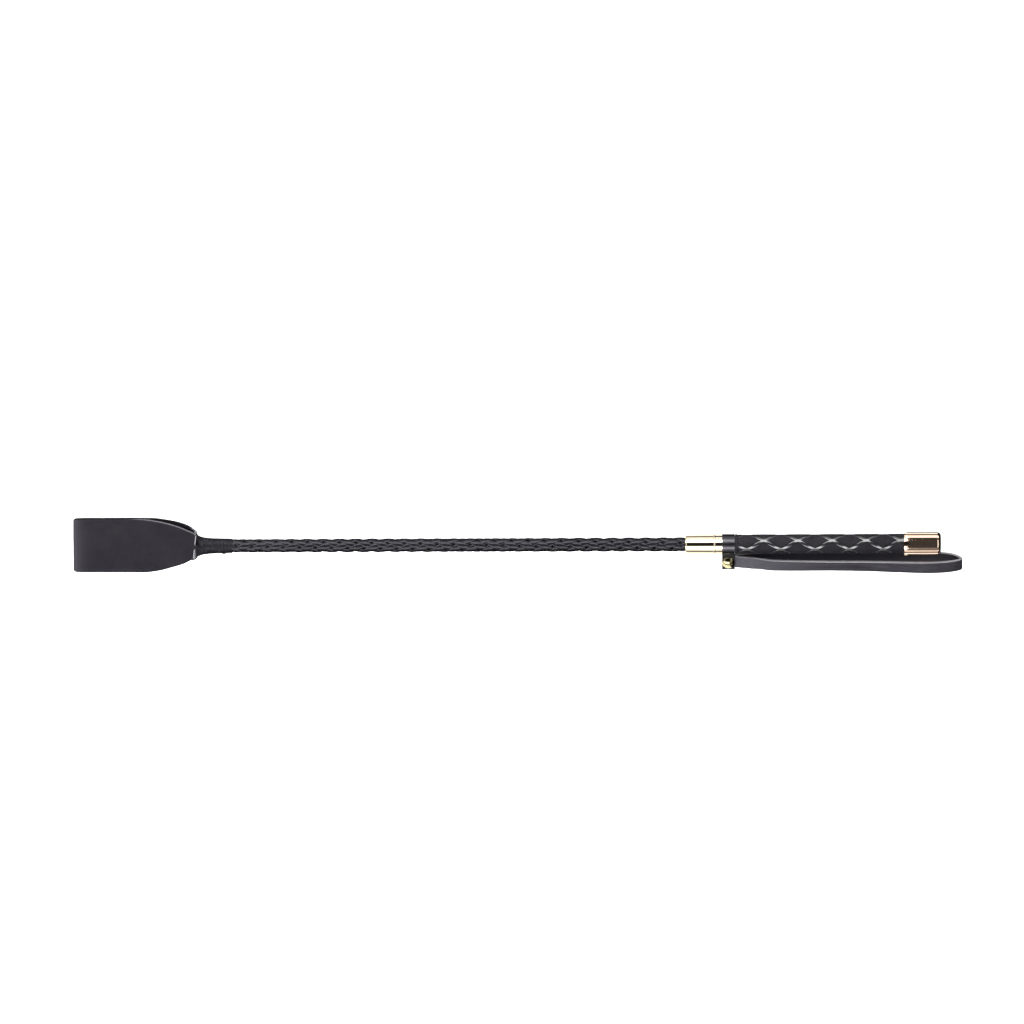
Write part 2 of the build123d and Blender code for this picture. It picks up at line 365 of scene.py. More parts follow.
def polished_metal(name, colour, wear_and_highlight, rough=(0.012, 0.03)):
    """Plated and polished metal, with fine turning marks and slightly worn patches."""
    material, tree, shader = new_material(name)
    at = object_coordinates(tree)
    patches = noise(tree, at, 160, 6, 0.6)
    shade = two_shades(tree, patches, 0.42, 0.75, colour, wear_and_highlight)
    tree.links.new(shade, shader.inputs["Base Color"])
    lines = noise(tree, stretched(tree, at, (9000, 300, 300)), 1.0, 3, 0.5)
    tree.links.new(ramp(tree, lines, 0.3, 0.7, *rough), shader.inputs["Roughness"])
    tree.links.new(bump(tree, lines, 0.002 * MM, 0.25), shader.inputs["Normal"])
    shader.inputs["Metallic"].default_value = 1.0
    return material


def waxed_thread(name, dark, light, waxy):
    """Black waxed thread, with fibres along each turn and paler lumps of wax."""
    material, tree, shader = new_material(name)
    at = object_coordinates(tree)
    fibres = noise(tree, stretched(tree, at, (2500, 700, 700)), 1.0, 5, 0.6)
    lumps = noise(tree, stretched(tree, at, (900, 350, 350)), 1.0, 3, 0.6)
    colour = two_shades(tree, fibres, 0.35, 0.7, dark, light)
    colour = two_shades(tree, lumps, 0.52, 0.7, colour, waxy)
    tree.links.new(colour, shader.inputs["Base Color"])
    tree.links.new(ramp(tree, fibres, 0.3, 0.7, 0.35, 0.6), shader.inputs["Roughness"])
    tree.links.new(bump(tree, lumps, 0.35 * MM, 0.9), shader.inputs["Normal"])
    shader.inputs["Specular IOR Level"].default_value = 0.12
    shader.inputs["Specular Tint"].default_value = TINT
    return material


def grip_leather(name, dark, light, pressed, groove):
    """Matt leather cells between glossy pressed bands, with painted shade in the groove along each edge.
    The mesh says how far each point is in a band and in a groove."""
    material, tree, shader = new_material(name)
    at = object_coordinates(tree)
    band = attribute(tree, "band")
    colour = two_shades(tree, noise(tree, at, 120, 5), 0.35, 0.65, dark, light)
    colour = mix_colour(tree, band, colour, pressed)
    # The grooves' near-black colour is painted shade
    colour = mix_colour(tree, attribute(tree, "groove"), colour, groove)
    tree.links.new(colour, shader.inputs["Base Color"])
    tree.links.new(band, shader.inputs["Coat Weight"])
    grain = noise(tree, at, 1500, 6, 0.7)
    tree.links.new(ramp(tree, grain, 0.3, 0.7, 0.62, 0.8), shader.inputs["Roughness"])
    cell_grain = maths(tree, "MULTIPLY", maths(tree, "SUBTRACT", 1.0, band), grain)
    tree.links.new(bump(tree, cell_grain, 0.09 * MM, 0.7), shader.inputs["Normal"])
    shader.inputs["Specular IOR Level"].default_value = 0.15
    shader.inputs["Specular Tint"].default_value = TINT
    shader.inputs["Coat Roughness"].default_value = 0.12
    shader.inputs["Coat IOR"].default_value = 1.75
    return material


def plastic(name, colour, rough=(0.4, 0.55)):
    """Plain plastic or fibre with a fine grain."""
    material, tree, shader = new_material(name)
    grain = noise(tree, object_coordinates(tree), 800, 4)
    lighter = tuple(c * 1.3 for c in colour)
    tree.links.new(two_shades(tree, grain, 0.3, 0.7, colour, lighter), shader.inputs["Base Color"])
    tree.links.new(ramp(tree, grain, 0.3, 0.7, *rough), shader.inputs["Roughness"])
    return material


# fold and shoulder_highlight turn the leather paler: painted highlights near the fold and on the upper
# leaf's shoulders
FLAPPER_LEATHER = leather(
    "flapper_leather", (0.0064, 0.0055, 0.0082), (0.0095, 0.0085, 0.0112), (0.5, 0.66), 0.1,
    layers=(("fold", (0.042, 0.038, 0.045)), ("shoulder_highlight", (0.27, 0.262, 0.285))),
)
# painted_light is painted light: the strap is paler near the rivet and on its lower run, which lies in
# shade
STRAP_LEATHER = leather(
    "strap_leather", (0.018, 0.0165, 0.021), (0.027, 0.0255, 0.031), (0.42, 0.55), 0.25,
    streaks=(0.045, 0.043, 0.052),
    layers=(("painted_light", (0.055, 0.0525, 0.063)),),
)
COLLAR_LEATHER = leather(
    "collar_leather", (0.0042, 0.0038, 0.005), (0.0072, 0.0066, 0.0084), (0.2, 0.3), 0.55,
)
TAB_LEATHER = leather(
    "tab_leather", (0.007, 0.0063, 0.0072), (0.0115, 0.0105, 0.012), (0.5, 0.65), 0.12,
)
# Painted highlights along the laces' upper edges, and painted shade in the gaps between laces
BRAID_LEATHER = leather(
    "braid_leather", (0.0036, 0.0033, 0.0045), (0.0066, 0.0061, 0.0082), (0.2, 0.3), 0.23,
    layers=(("rim_highlight", (0.0135, 0.0128, 0.0166)), ("gap_shade", (0.0004, 0.0004, 0.0005))),
)
# Its second colour is a painted highlight along the upper leaf's edges towards the neck
FLAPPER_EDGE = cut_edge(
    "flapper_edge", (0.006, 0.0055, 0.0068), (0.5, 0.7), 0.12, wear_and_highlight=(0.066, 0.063, 0.071),
)
EDGE = cut_edge("cut_edge", (0.03, 0.0285, 0.032))
STRAP_EDGE = cut_edge("strap_edge", (0.24, 0.235, 0.25))
THREAD = waxed_thread(
    "whipping_thread", (0.002, 0.0019, 0.0025), (0.0075, 0.0072, 0.0092), (0.021, 0.0203, 0.026),
)
# The last colour is painted shade in the grooves beside the bands
GRIP = grip_leather(
    "grip_leather", (0.0082, 0.0075, 0.0096), (0.0126, 0.0117, 0.0144), (0.01, 0.0093, 0.0115),
    (0.001, 0.001, 0.0012),
)
GOLD = polished_metal("gold_metal", (0.95, 0.84, 0.62), (0.9, 0.76, 0.5))
ROSE_GOLD = polished_metal("rose_gold_metal", (0.94, 0.7, 0.54), (0.88, 0.62, 0.45))
RIVET_METAL = polished_metal(
    "rivet_metal", (0.25, 0.222, 0.125), (0.18, 0.155, 0.08), rough=(0.05, 0.12),
)
GLASS_FIBRE = plastic("glass_fibre", (0.5, 0.48, 0.4))
HANDLE_PLASTIC = plastic("handle_plastic", (0.01, 0.01, 0.011))
UNDERLAY = plastic("thread_underlay", (0.002, 0.002, 0.0022), (0.8, 0.9))


# ---- CAD nodes that keep their shape

def paint(material, *names):
    """Gives each CAD node one material."""
    for name in names:
        mesh = NODES[name].data
        mesh.materials.clear()
        mesh.materials.append(material)
        mesh.polygons.foreach_set("material_index", np.zeros(len(mesh.polygons), dtype=np.int32))


paint(GOLD, "ferrule", "ferrule_bead", "ferrule_sleeve")
paint(ROSE_GOLD, "pommel_cap")
paint(RIVET_METAL, "rivet_cap", "rivet_post")
paint(GLASS_FIBRE, "shaft_core")
paint(UNDERLAY, "shaft_sheath")
paint(HANDLE_PLASTIC, "handle_core", "ferrule_bushing", "pommel_plug")
paint(GRIP, "grip_front_ring")


# ---- The braid: three laces each way, each over one and under one

LACES_EACH_WAY = 3
LOZENGE_FRONT = 11.8 * MM
LOZENGE_REAR = 12.9 * MM
LACE_HALF_SHARE = 0.4
LACE_DOME = 0.85 * MM
LACE_LIFT = 0.29 * MM
LACE_STEP = 0.07
LACE_POINTS = 24
# A lace's rim, where a painted highlight lies on its upper side, is between these shares of its half width
RIM_FROM, RIM_TO = 0.62, 0.9
# Painted shade darkens the gaps between laces between these depths
LACE_GAP_FROM, LACE_GAP_TO = 0.42 * MM, 0.85 * MM
BRAID_LENGTH = BRAID_REAR - BRAID_FRONT
BRAID_FRONT_R = 5.15 * MM
BRAID_REAR_R = 5.4 * MM
BRAID_CORE_R = 0.9 * radius("shaft_sheath")
BRAID_TURN = math.radians(28)
BRAID_DRIFT = math.radians(-110)


def braid_x(steps):
    """The place along the shaft after that many half lozenges, which lengthen towards the handle."""
    first, last = LOZENGE_FRONT / 2, LOZENGE_REAR / 2
    growth = (last - first) / BRAID_LENGTH
    return BRAID_FRONT + first * (np.exp(growth * steps) - 1) / growth


def lace_section():
    """A lace's flattened oval section: each point's share of the half width and of the dome's height."""
    around = np.linspace(0, 2 * math.pi, LACE_POINTS, endpoint=False)
    across = np.sign(np.cos(around)) * np.abs(np.cos(around)) ** 0.75
    crown = np.where(np.sin(around) > 0, np.sin(around), 0.4 * np.sin(around))
    return across, crown


def lace_rings(index, way, rng):
    """One lace's rings of points, and how near each is to the lace's edge, for a painted highlight, and to
    the braid's core, for painted shade.
    way is 1 or -1, the direction that it turns."""
    across, crown = lace_section()
    # A painted highlight on the upper side of each lace's edges
    rim_highlight = smoothstep(np.abs(across), RIM_FROM, RIM_TO) * (crown > 0.1)
    steps = BRAID_LENGTH / (LOZENGE_FRONT / 2)
    along = np.arange(index - 1.0, steps + 1.0 + index, LACE_STEP)
    # No lace is quite even: its width and its place both waver along it
    slow, quick, offset = rng.uniform(0, 2 * math.pi, 3)
    width = LACE_HALF_SHARE * (1 + 0.03 * np.sin(0.9 * along + slow) + 0.02 * np.sin(2.3 * along + quick))
    shift = 0.02 * np.sin(1.7 * along + offset)
    rings, gap_shades = [], []
    for k, other in enumerate(along):
        own = index + width[k] * across + shift[k]
        x = braid_x(other - own)
        share = np.clip((x - BRAID_FRONT) / BRAID_LENGTH, 0, 1)
        outer = BRAID_FRONT_R + (BRAID_REAR_R - BRAID_FRONT_R) * share
        centre = outer - LACE_DOME - LACE_LIFT * (1 - way * np.cos(math.pi * (other + index)))
        r = np.maximum(centre + LACE_DOME * crown, BRAID_CORE_R)
        angle = way * (own + other) * math.pi / LACES_EACH_WAY + BRAID_TURN + BRAID_DRIFT * share
        x = np.clip(x, BRAID_FRONT, BRAID_REAR)
        rings.append(np.column_stack([x, r * np.sin(angle), r * np.cos(angle)]))
        # Painted shade, darker deeper towards the braid's core
        gap_shades.append(smoothstep(outer - r, LACE_GAP_FROM, LACE_GAP_TO))
    return np.vstack(rings), len(along), np.tile(rim_highlight, len(along)), np.concatenate(gap_shades)


def make_braid():
    """Six laces, each a piece of its own."""
    rng = np.random.default_rng(7)
    for way in (1, -1):
        for index in range(LACES_EACH_WAY):
            verts, rings, rim_highlights, gap_shades = lace_rings(index, way, rng)
            name = f"lace_{'right' if way > 0 else 'left'}_{index + 1}"
            piece = add_mesh(name, verts, tube_faces(rings, LACE_POINTS), [BRAID_LEATHER])
            point_attribute(piece, "rim_highlight", rim_highlights)
            point_attribute(piece, "gap_shade", gap_shades)
            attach(piece, "crop")
            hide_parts("braided_cover")


make_braid()


# ---- The whipping at the tip

THREAD_TURN = 0.9 * MM
THREAD_RELIEF = 0.14 * MM
WHIP_POINTS = 96
WHIP_FRONT_R = radius("tip_whipping") + 0.4 * MM
WHIP_WAIST_R = 6.0 * MM
WHIP_REAR_R = 5.45 * MM
FLARE_LENGTH = 3.6 * MM
# The thread's tucked end: its place, size and spread
LUMP_X = WHIP_REAR - 6.5 * MM
LUMP_ANGLE = math.radians(-62)
LUMP_HEIGHT = 0.7 * MM
LUMP_LENGTH = 1.6 * MM
LUMP_SPREAD = 0.5


def thread_radius(x, angle):
    """The whipping's surface: a straight taper, its flared front, the ribs of its turns and the lump."""
    taper = WHIP_REAR_R + (WHIP_WAIST_R - WHIP_REAR_R) * (WHIP_REAR - x) / (WHIP_REAR - WHIP_FRONT)
    base = taper + (WHIP_FRONT_R - taper) * np.exp(-(x - WHIP_FRONT) / FLARE_LENGTH)
    turns = (x - WHIP_FRONT) / THREAD_TURN + angle / (2 * math.pi)
    rib = np.abs(np.sin(math.pi * turns)) ** 0.6
    from_lump = np.angle(np.exp(1j * (angle - LUMP_ANGLE)))
    lump = np.exp(-((x - LUMP_X) / LUMP_LENGTH) ** 2 - (from_lump / LUMP_SPREAD) ** 2)
    return base - THREAD_RELIEF * (1 - rib) + LUMP_HEIGHT * lump


def make_whipping():
    """Turns of thread over the tongues, flared at the front, with its tucked end as a small lump."""
    stations = np.arange(WHIP_FRONT, WHIP_REAR, THREAD_TURN / 8)
    verts, _, _ = lathe_grid(stations, WHIP_POINTS, thread_radius)
    faces = tube_faces(len(stations), WHIP_POINTS, closed_ends=False)
    front_middle, rear_middle = len(verts), len(verts) + 1
    last_ring = len(verts) - WHIP_POINTS
    for j in range(WHIP_POINTS):
        k = (j + 1) % WHIP_POINTS
        faces.append((front_middle, k, j))
        faces.append((rear_middle, last_ring + j, last_ring + k))
    middles = [[WHIP_FRONT + 0.6 * MM, 0, 0], [WHIP_REAR - 0.2 * MM, 0, 0]]
    piece = add_mesh("whipping_turns", np.vstack([verts, middles]), faces, [THREAD])
    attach(piece, "crop")
    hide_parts("tip_whipping")


make_whipping()


# ---- The flapper

FOLD_X, ROOT_X = x_range("flapper")
LEAF = 1.5 * MM
TONGUE_HALF = 2.0 * MM
TONGUE_END = WHIP_FRONT + 6 * MM
UPPER_LEAF_END = ROOT_X + 0.9 * MM
LOWER_LEAF_END = WHIP_FRONT + 0.5 * MM
CORNER = 2.8 * MM
SHOULDER = 1.1 * MM
SHOULDER_DROP = 0.6 * MM
SHOULDER_SKEW = 0.1
# How far from the fold its painted highlight fades
FOLD_FADE = 4 * MM
# Between these heights lies the gap between the upper leaf and the lower one
LEAF_GAP_LOW, LEAF_GAP_HIGH = -3.4 * MM, -2.6 * MM
# Each leaf's outline, as distance from the fold and half width, in mm
UPPER_OUTLINE = [
    (46, 22.6), (54, 22.4), (61.3, 21.4), (67.3, 20.1), (73.3, 18.3), (80, 16.0), (86, 13.2), (89, 11.5),
    (91.2, 9.4),
]
LOWER_OUTLINE = [
    (46, 22.2), (61.3, 21.7), (67.3, 20.7), (73.3, 19.4), (79.3, 17.6), (85.3, 15.2), (88.3, 14.0),
    (91.3, 12.4), (92.4, 11.0), (93.6, 8.6),
]
# Each leaf's side view, as distance from the fold and height, in mm
UPPER_SIDE = [
    (87, 0.9), (80, 0.3), (73, -0.3), (60, -1.2), (45, -1.75), (25, -1.95), (12, -2.05), (5, -2.2),
    (1.25, -2.6), (0.75, -3.05),
]
LOWER_SIDE = [
    (1.25, -3.5), (5, -3.9), (12, -4.05), (35, -4.15), (56, -4.3), (73, -4.5), (83, -4.5), (87.5, -3.5),
    (91.3, -1.6),
]


def from_fold(points):
    """Points given in mm from the fold, in the frame."""
    return [(FOLD_X + distance * MM, other * MM) for distance, other in points]


def flapper_line():
    """The strip's side view, from the upper tongue over the fold to the lower tongue."""
    upper = [(TONGUE_END, 2.4 * MM), (WHIP_FRONT, 2.0 * MM), (ROOT_X, 1.2 * MM)]
    lower = [(WHIP_FRONT, -1.0 * MM), (TONGUE_END, -1.0 * MM)]
    return resample(smooth_line(upper + from_fold(UPPER_SIDE + LOWER_SIDE) + lower, 12), 0.35 * MM)


def leaf_half_width(x, outline, end_x):
    """Half the leaf's width at x: rounded corners at the fold, a taper to the shoulders, and then the
    narrow tongue."""
    points = smooth_line(from_fold(outline), 10)
    wide = np.interp(x, points[:, 0], points[:, 1])
    inside = np.clip((x - FOLD_X) / CORNER, 0, 1)
    wide = wide - CORNER * (1 - np.sqrt(1 - (1 - inside) ** 2))
    return np.where(x > end_x, TONGUE_HALF, wide)


def leaf_shift(u, v):
    """How far each leaf's middle lies to +Y: both swing over towards the neck, the upper one later."""
    if u > UPPER_LEAF_END:
        return -0.4 * MM
    along = (u - FOLD_X) / MM
    lower = 0.8 * smoothstep(along, 60, 90)
    upper = smoothstep(along, 53, 80) - 0.5 * smoothstep(along, 44, 70)
    return (-0.4 + lower + (upper - lower) * smoothstep(v, LEAF_GAP_LOW, LEAF_GAP_HIGH)) * MM


def round_shoulders(piece):
    """The upper leaf's shoulders are cut a little askew, and turn down at their end, where a painted
    highlight makes them pale."""
    start = UPPER_LEAF_END - SHOULDER
    shares = []
    for vert in piece.data.vertices:
        x, y, z = vert.co
        on_upper = x < UPPER_LEAF_END + 0.4 * MM and abs(y) > TONGUE_HALF + 0.3 * MM and z > -1.2 * MM
        share = min(1.0, max(0.0, (x - start) / SHOULDER)) if on_upper else 0.0
        if on_upper:
            vert.co.z -= SHOULDER_DROP * (1 - math.sqrt(1 - share * share))
            vert.co.x += SHOULDER_SKEW * y * float(smoothstep(x, UPPER_LEAF_END - 9 * MM, UPPER_LEAF_END))
        shares.append(share > 0.25)
    # A painted highlight on the shoulders' turned-down ends
    point_attribute(piece, "shoulder_highlight", shares)


def paint_flapper_highlights(piece):
    """Painted highlights: the upper leaf's edges are paler towards the neck, and the leather is paler near
    the fold.
    """
    x = np.array([vert.co.x for vert in piece.data.vertices])
    z = np.array([vert.co.z for vert in piece.data.vertices])
    upper_side = smoothstep(z, -3.0 * MM, -2.4 * MM)
    near_neck = smoothstep(x - FOLD_X, 38 * MM, 58 * MM) * (x < UPPER_LEAF_END + 0.2 * MM)
    # A painted highlight along the upper leaf's edges towards the neck
    point_attribute(piece, "edge_highlight", near_neck * upper_side)
    # A painted highlight near the fold, where the leaf rolls over
    point_attribute(piece, "fold", np.exp(-(x - FOLD_X) / FOLD_FADE))


def make_flapper():
    """One strip: the upper leaf from its tongue to the fold, and the lower leaf back to its own."""
    line = flapper_line()
    turn = int(np.argmin(line[:, 0]))
    half_widths = np.concatenate([
        leaf_half_width(line[:turn, 0], UPPER_OUTLINE, UPPER_LEAF_END),
        leaf_half_width(line[turn:, 0], LOWER_OUTLINE, LOWER_LEAF_END),
    ])

    def place(u, v, w, du, dv):
        return u + du, w + leaf_shift(u, v), v + dv

    piece = strip("flapper_leaf", line, half_widths, LEAF, place, [FLAPPER_LEATHER, FLAPPER_EDGE])
    paint_flapper_highlights(piece)
    round_shoulders(piece)
    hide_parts("flapper", "flapper_tongues")
    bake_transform(piece)


make_flapper()


# ---- The grip, pressed with crossing bands

BAND_STEP = 12.83 * MM
BAND_CROSS_X = GRIP_FRONT + 19.45 * MM
BAND_CROSS_ANGLE = math.radians(51)
BANDS_AROUND = 3
BAND_START = 1.5 * MM
BAND_DEPTH = 0.2 * MM
GROOVE_DEPTH = 0.32 * MM
CELL_RISE = 0.1 * MM
# A band's half width and its groove's place, as shares of the distance between bands
BAND_FROM, BAND_TO = 0.085, 0.1
GROOVE_MIDDLE = 0.11
GROOVE_FROM, GROOVE_TO = 0.012, 0.032
GRIP_FRONT_R = 7.3 * MM
GRIP_REAR_R = radius("grip_cover")
GRIP_POINTS = 200
GRIP_STATIONS = 520


def band_lattice(x, angle):
    """How far a point is inside a pressed band and inside the groove at its edge, from 0 to 1, and
    how near a cell's middle it is."""
    steps = (x - BAND_CROSS_X) / BAND_STEP
    turns = (angle - BAND_CROSS_ANGLE) * BANDS_AROUND / math.pi
    one = (turns + steps) / 2
    two = (turns - steps) / 2
    near_one = np.abs(one - np.round(one))
    near_two = np.abs(two - np.round(two))
    nearest = np.minimum(near_one, near_two)
    band = 1 - smoothstep(nearest, BAND_FROM, BAND_TO)
    groove = 1 - smoothstep(np.abs(nearest - GROOVE_MIDDLE), GROOVE_FROM, GROOVE_TO)
    return band, groove, near_one * near_two * 4


def grip_radius(x, angle):
    """The grip's surface: a straight taper with the bands pressed in, which begin behind its front edge."""
    base = GRIP_FRONT_R + (GRIP_REAR_R - GRIP_FRONT_R) * (x - GRIP_FRONT) / (GRIP_REAR - GRIP_FRONT)
    band, groove, cell = band_lattice(x, angle)
    fade = smoothstep(x, GRIP_FRONT, GRIP_FRONT + BAND_START)
    return base + (CELL_RISE * cell - BAND_DEPTH * band - GROOVE_DEPTH * groove) * fade


def make_grip():
    """The leather sleeve, pressed with bands that cross each other."""
    stations = np.linspace(GRIP_FRONT, GRIP_REAR, GRIP_STATIONS)
    verts, x, angle = lathe_grid(stations, GRIP_POINTS, grip_radius)
    piece = add_mesh("grip_sleeve", verts, tube_faces(len(stations), GRIP_POINTS), [GRIP])
    band, groove, _ = band_lattice(x, angle)
    point_attribute(piece, "band", band)
    point_attribute(piece, "groove", groove)
    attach(piece, "crop")
    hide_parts("grip_cover")


make_grip()


# ---- The strap's collar

COLLAR_THICK = 1.6 * MM
COLLAR_BEND = 1.4 * MM
# The leather reaches this much nearer the grip than the CAD collar, so that no gap shows there
COLLAR_EXTRA = 0.2 * MM
COLLAR_X = (COLLAR_FRONT + COLLAR_REAR + COLLAR_EXTRA) / 2
COLLAR_HALF_WIDTH = (COLLAR_REAR - COLLAR_FRONT + COLLAR_EXTRA) / 2
TAB_INSET = 0.1 * MM
TAB_ROOT_Y = -4 * MM


def arc(centre, r, start, end, count):
    """Points on an arc, from one angle to another in degrees."""
    angles = np.radians(np.linspace(start, end, count))
    return [(centre[0] + r * math.cos(a), centre[1] + r * math.sin(a)) for a in angles]


def make_collar():
    """One leather band: out of the tab's lower half, round the handle, and back into its upper half."""
    low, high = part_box("collar_band")
    tab_end = low.y + TAB_INSET
    ring_r = high.z - COLLAR_THICK / 2
    lower_z = low.z + COLLAR_THICK / 2
    upper_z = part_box("rivet_cap")[0].z - COLLAR_THICK / 2
    bend_r = ring_r + COLLAR_BEND
    meet = math.degrees(math.asin((upper_z + COLLAR_BEND) / bend_r))
    turn_in = (-bend_r * math.cos(math.radians(meet)), upper_z + COLLAR_BEND)
    path = [(tab_end, lower_z), (TAB_ROOT_Y, lower_z)]
    path += arc((0, 0), ring_r, -90, 180 - meet, 60)
    path += arc(turn_in, COLLAR_BEND, -meet, -90, 8)[1:]
    path += [(tab_end, upper_z)]
    line = resample(np.array(path), 0.35 * MM)
    widths = np.full(len(line), COLLAR_HALF_WIDTH)

    def place(u, v, w, du, dv):
        return COLLAR_X + w, u + du, v + dv

    materials = [COLLAR_LEATHER, EDGE, TAB_LEATHER]
    piece = strip(
        "collar_leather", line, widths, COLLAR_THICK, place, materials, round_over=0.25 * MM, across=9,
    )
    for face in piece.data.polygons:
        if face.material_index == 0 and face.center.y < turn_in[0]:
            face.material_index = 2
    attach(piece, "strap_collar")
    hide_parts("collar_band")


make_collar()


# ---- The wrist strap

STRAP_THICK = 2.0 * MM
STRAP_HALF_WIDTH = 4.8 * MM
NOSE_LENGTH = 27 * MM
NOSE_LEAN = 6.0
# The upper run's middle line: distance from the rivet and height over the floor in mm, lean in degrees
UPPER_RUN = [
    (26, 9.9, 7), (40, 10.9, 11), (54, 11.4, 15), (76, 11.7, 19), (100, 12.3, 17), (122, 13.4, 12),
]
# The lower run's middle line: distance from the rivet and height over where it lies flat, in mm
LOWER_RUN = [(100, 0), (40, 0), (22, 0.9)]


def strap_line(low, high):
    """The loop's side view, as distance from the rivet and height: along the top, round the nose and
    back underneath."""
    half = STRAP_THICK / 2
    upper_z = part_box("rivet_cap")[0].z - COLLAR_THICK - 0.05 * MM - half
    lower_z = upper_z - STRAP_THICK
    bottom = FLOOR_Z + half
    top = FLOOR_Z + high.z - low.z - half
    nose_x = high.x - RIVET.x - half
    turn = [
        (nose_x - NOSE_LENGTH * (1 - math.sin(a)), (top + bottom) / 2 + (top - bottom) / 2 * math.cos(a))
        for a in np.radians(np.linspace(0, 180, 40))
    ]
    upper = [(-4 * MM, upper_z), (4 * MM, upper_z + 0.1 * MM), (12 * MM, upper_z + 1.9 * MM)]
    upper += [(u * MM, FLOOR_Z + height * MM) for u, height, _ in UPPER_RUN]
    lower = [(u * MM, bottom + height * MM) for u, height in LOWER_RUN]
    lower += [(7 * MM, lower_z), (-4 * MM, lower_z)]
    upper_line = smooth_line(upper + turn[:1], 20)
    lower_line = smooth_line(turn[-1:] + lower, 20)
    return resample(np.vstack([upper_line, turn[1:-1], lower_line]), 0.6 * MM)


def upper_share(u, v):
    """1 on the strap's upper run, 0 on its lower run, and between them round the nose."""
    if u < 20 * MM:
        return 0.0
    return float(smoothstep(v, FLOOR_Z + 2 * MM, FLOOR_Z + 7 * MM))


def strap_shift(u, v):
    """How far the strap lies off the rivet's line: the upper run swings out towards -Y."""
    out = smoothstep(u, 20 * MM, 36 * MM) + 0.4 * smoothstep(u, 100 * MM, 150 * MM)
    return -float(out) * MM * upper_share(u, v)


def strap_lean(u, v):
    """How far the strap leans towards -Y: the upper run most in its middle, the lower run only near
    the nose."""
    places = [10 * MM] + [place * MM for place, _, _ in UPPER_RUN] + [150 * MM]
    leans = [0] + [lean for _, _, lean in UPPER_RUN] + [NOSE_LEAN]
    upper = float(np.interp(u, places, leans))
    lower = NOSE_LEAN * float(smoothstep(u, 110 * MM, 155 * MM))
    return math.radians(lower + (upper - lower) * upper_share(u, v))


def make_strap():
    """A loop of one flat strap, whose lower run lies on the table and whose upper run leans outwards."""
    line = strap_line(*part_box("wrist_strap"))
    widths = np.full(len(line), STRAP_HALF_WIDTH)

    def place(u, v, w, du, dv):
        lean = strap_lean(u, v)
        across = strap_shift(u, v) + w * math.cos(lean) - dv * math.sin(lean)
        up = w * math.sin(lean) + dv * math.cos(lean)
        return RIVET.x + u + du, RIVET.y + across, max(v + up, FLOOR_Z)

    piece = strip("strap_loop", line, widths, STRAP_THICK, place, [STRAP_LEATHER, STRAP_EDGE], across=11)
    u = np.array([vert.co.x for vert in piece.data.vertices]) - RIVET.x
    z = np.array([vert.co.z for vert in piece.data.vertices]) - FLOOR_Z
    # Painted light: paler near the rivet, and paler on the shaded lower run
    near_rivet = 1 - smoothstep(u, 20 * MM, 95 * MM)
    low_run = 1 - smoothstep(z, 3 * MM, 6 * MM)
    point_attribute(piece, "painted_light", np.maximum(0.75 * near_rivet, 0.8 * low_run))
    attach(piece, "wrist_strap")
    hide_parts("wrist_strap")


make_strap()


# ---- Floor, lights and camera

FLOOR_SIZE = 30.0


def make_floor():
    """A pale, slightly glowing table top, which polished metal doesn't pick up."""
    material, tree, shader = new_material("pale_floor")
    clouds = noise(tree, object_coordinates(tree), 3, 3)
    shade = mix_colour(tree, clouds, (0.86, 0.86, 0.86), (0.9, 0.9, 0.9))
    tree.links.new(shade, shader.inputs["Base Color"])
    shader.inputs["Roughness"].default_value = 0.9
    shader.inputs["Emission Color"].default_value = (1, 1, 1, 1)
    shader.inputs["Emission Strength"].default_value = 1.0
    signs = ((-1, -1), (1, -1), (1, 1), (-1, 1))
    corners = [(x * FLOOR_SIZE, y * FLOOR_SIZE, FLOOR_Z) for x, y in signs]
    floor = add_mesh("floor", corners, [(0, 1, 2, 3)], [material], smooth=False)
    floor.visible_glossy = False
    floor.visible_shadow = False
    floor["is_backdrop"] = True


# How far round the shaft the camera looks from, in degrees from +Z towards +Y
CAMERA_SIDE = 28.0
TENT_RADIUS = 0.6
# The tent of light reaches from TENT_LEFT to TENT_RIGHT along the shaft. Its gap at the camera begins at
# TENT_CLOSED, it is nearly dark overhead from TENT_END to TENT_OPEN, and its gap for the ferrule's metal
# lies between the ring gap's ends
TENT_LEFT = -1.4
TENT_CLOSED = -0.68
TENT_END = -0.0197
TENT_OPEN = 0.09
TENT_RIGHT = 0.45
RING_GAP_LEFT = -0.23
RING_GAP_RIGHT = -0.12
SOFT = 1.2
BRIGHT = 6.9
DIM = 0.22
FAINT = 0.04
END_SOFT = 1.7
RIVET_SOFT = 4.5
WORLD_GLOW = 0.015
RINGS = ("ferrule", "ferrule_bead", "ferrule_sleeve")
CAP = ("pommel_cap",)
RIVET_PARTS = ("rivet_cap", "rivet_post")
# Each panel's name, places along the shaft, angles about it from the camera towards +Y, and brightness
OPEN_PANELS = [
    ("far_panel", TENT_LEFT, TENT_END, 20, 98, SOFT),
    ("far_strip", TENT_LEFT, TENT_END, 27, 56, BRIGHT),
    ("near_panel", TENT_LEFT, TENT_END, -84, -20, SOFT),
    ("near_strip", TENT_LEFT, TENT_END, -56, -31, BRIGHT),
    ("closing_panel", TENT_LEFT, TENT_CLOSED, -18, 18, SOFT),
    ("far_end_panel", TENT_END, TENT_RIGHT, 63, 92, END_SOFT),
    ("near_end_panel", TENT_END, TENT_RIGHT, -84, -74, END_SOFT),
    ("near_dim_panel", TENT_END, TENT_RIGHT, -74, -41, DIM),
    ("faint_panel", TENT_END, TENT_OPEN, -41, 63, FAINT),
    ("right_closing_panel", TENT_OPEN, TENT_RIGHT, -40, 40, SOFT),
]
